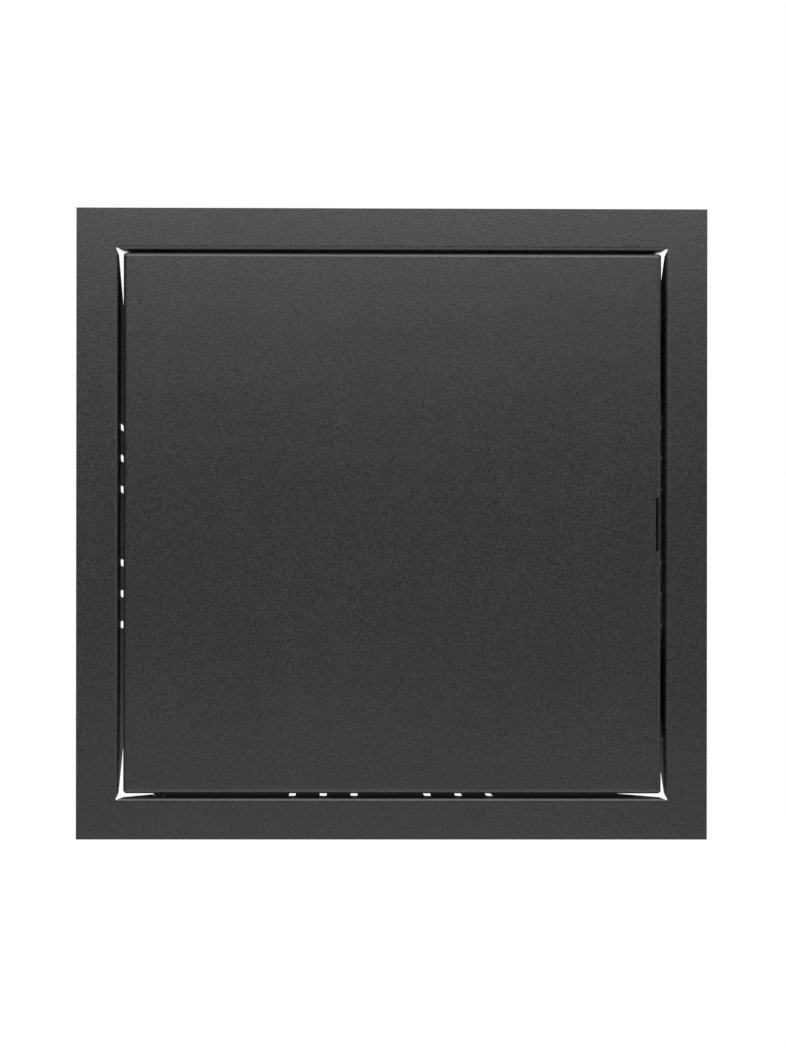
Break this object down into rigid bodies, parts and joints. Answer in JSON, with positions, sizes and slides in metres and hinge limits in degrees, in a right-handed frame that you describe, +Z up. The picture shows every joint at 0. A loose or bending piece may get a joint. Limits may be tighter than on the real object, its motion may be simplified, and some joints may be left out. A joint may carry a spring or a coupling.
{
  "type": "hinged access panel",
  "caption": "Square flush access panel in folded sheet steel: flanged frame with anchor tabs, tray door on a left-hand pivot pair with a sprung top pin, and magnetic catches.",
  "frame": {"origin": "middle of the frame's opening, in the plane of the wall's face, where the back of the flange rests", "axes": "+X to the right and +Z up as seen from the room, +Y into the wall"},
  "size_m": [0.3, 0.03, 0.3],
  "materials": {
    "coated_sheet": "matte fine-texture powder coat",
    "zinc_plated_steel": "bright zinc plating",
    "bright_steel": "drawn wire, plain",
    "black_nylon": "moulded, matte",
    "ferrite": "ground ceramic magnet",
    "rivet_alloy": "plain"
  },
  "bodies": {
    "frame_body": {"frame": "coated_sheet", "lower_pivot_stud": "zinc_plated_steel", "lower_thrust_washer": "black_nylon", "upper_pivot_bush": "black_nylon", "upper_catch_housing": "black_nylon", "lower_catch_housing": "black_nylon", "upper_catch_magnet": "ferrite", "lower_catch_magnet": "ferrite", "upper_catch_poles": "zinc_plated_steel", "lower_catch_poles": "zinc_plated_steel", "catch_rivets": "rivet_alloy"},
    "door_body": {"door_panel": "coated_sheet", "lower_pivot_bush": "black_nylon", "pin_guide_bush": "black_nylon", "pin_bracket": "zinc_plated_steel", "pin_spring": "bright_steel", "upper_strike_plate": "zinc_plated_steel", "lower_strike_plate": "zinc_plated_steel", "strike_rivets": "rivet_alloy"},
    "pin_body": {"spring_pin": "bright_steel", "pin_clip": "bright_steel", "pin_washer": "zinc_plated_steel"}
  },
  "joints": [
    {"name": "door_swing", "type": "hinge", "parent": "frame_body", "child": "door_body", "pos_m": [-0.1108, 0.0084, 0], "axis": [0, 0, -1], "range_deg": [0, 120]},
    {"name": "pin_slide", "type": "slide", "parent": "door_body", "child": "pin_body", "axis": [0, 0, -1], "range_m": [0, 0.006], "stiffness_N_per_m": 1000, "springref_m": -0.003, "deforming": ["pin_spring"]}
  ]
}
